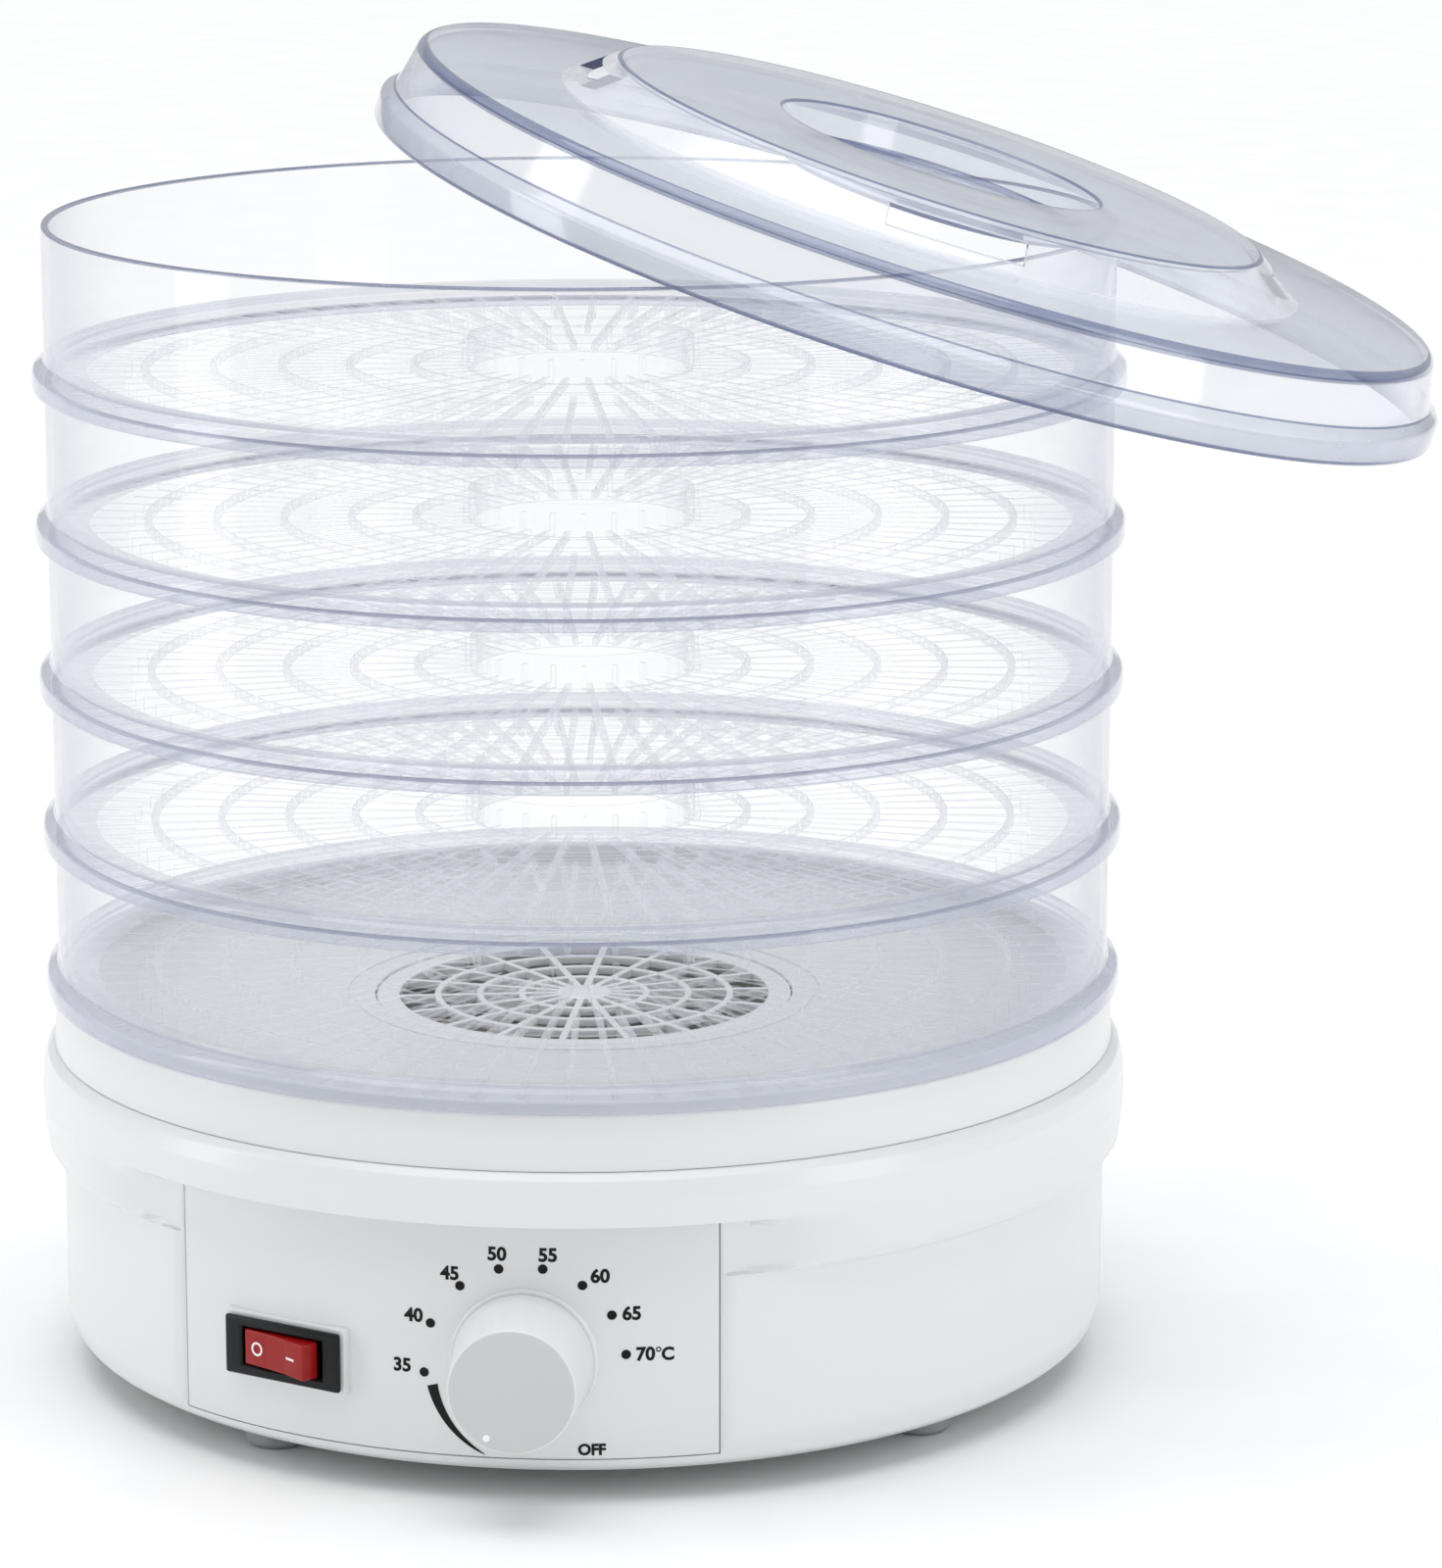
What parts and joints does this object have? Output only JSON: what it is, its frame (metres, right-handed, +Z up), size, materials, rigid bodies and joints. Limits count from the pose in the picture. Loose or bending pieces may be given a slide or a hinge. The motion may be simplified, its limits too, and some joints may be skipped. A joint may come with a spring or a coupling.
{
  "type": "food dehydrator",
  "caption": "Round electric food dehydrator with clear stacking trays, a clear lid laid askew, a dial thermostat and a rocker switch on a fan-heated base.",
  "frame": {"origin": "centre of the underside cover's lower face, on the axis of the stack; the feet reach 8.3 mm below it", "axes": "+Z up along the stack, -Y out of the control panel, +X to the right seen from the front, the side that the lid overhangs"},
  "size_m": [0.3945, 0.3414, 0.3789],
  "materials": {
    "housing": "glossy white moulded ABS",
    "panel": "satin white moulded ABS",
    "knob": "satin white moulded ABS",
    "clear_trays": "clear polystyrene with a faint blue edge tint",
    "clear_lid": "clear polystyrene with a faint blue edge tint",
    "switch_black": "black nylon",
    "rocker_red": "translucent red polycarbonate",
    "fan_plastic": "black moulded nylon",
    "rubber": "grey rubber",
    "steel": "plated steel",
    "motor_iron": "laminated steel motor",
    "mica": "mica sheet"
  },
  "bodies": {
    "base": {"base_housing": "housing", "top_cover": "housing", "bottom_cover": "housing", "outlet_grille": "housing", "control_panel": "panel", "switch_housing": "switch_black", "terminal_block": "fan_plastic", "cord_gland": "fan_plastic", "gland_nut": "fan_plastic", "foot_1": "rubber", "foot_2": "rubber", "foot_3": "rubber", "foot_4": "rubber", "motor_bracket": "steel", "heater_duct": "steel", "heating_coil": "steel", "thermal_cutout": "steel", "thermostat_body": "steel", "thermostat_nut": "steel", "motor_screw_1": "steel", "motor_screw_2": "steel", "cover_screw_1": "steel", "cover_screw_2": "steel", "cover_screw_3": "steel", "cover_screw_4": "steel", "fan_motor": "motor_iron", "heater_mica": "mica"},
    "tray_1": {"tray_1": "clear_trays"},
    "tray_2": {"tray_2": "clear_trays"},
    "tray_3": {"tray_3": "clear_trays"},
    "tray_4": {"tray_4": "clear_trays"},
    "tray_5": {"tray_5": "clear_trays"},
    "knob": {"knob": "knob", "thermostat_shaft": "steel"},
    "rocker": {"rocker": "rocker_red"},
    "fan": {"fan_impeller": "fan_plastic", "motor_shaft": "steel"},
    "lid": {"lid": "clear_lid"}
  },
  "joints": [
    {"name": "tray_1_lift", "type": "slide", "parent": "base", "child": "tray_1", "axis": [0, 0, 1], "range_m": [0, 0.06]},
    {"name": "tray_2_lift", "type": "slide", "parent": "tray_1", "child": "tray_2", "axis": [0, 0, 1], "range_m": [0, 0.06]},
    {"name": "tray_3_lift", "type": "slide", "parent": "tray_2", "child": "tray_3", "axis": [0, 0, 1], "range_m": [0, 0.06]},
    {"name": "tray_4_lift", "type": "slide", "parent": "tray_3", "child": "tray_4", "axis": [0, 0, 1], "range_m": [0, 0.06]},
    {"name": "tray_5_lift", "type": "slide", "parent": "tray_4", "child": "tray_5", "axis": [0, 0, 1], "range_m": [0, 0.06]},
    {"name": "lid_lift", "type": "slide", "parent": "tray_5", "child": "lid", "axis": [0, 0, 1], "range_m": [0, 0.08]},
    {"name": "knob_turn", "type": "hinge", "parent": "base", "child": "knob", "pos_m": [0.02652, -0.14591, 0.0322], "axis": [-0.1788, 0.9839, 0], "range_deg": [-66, 235]},
    {"name": "rocker_rock", "type": "hinge", "parent": "base", "child": "rocker", "pos_m": [-0.04137, -0.14241, 0.0279], "axis": [0, 0, 1], "range_deg": [0, 24]},
    {"name": "fan_spin", "type": "hinge", "parent": "base", "child": "fan", "pos_m": [0, 0, 0.0532], "axis": [0, 0, 1], "continuous": true}
  ]
}
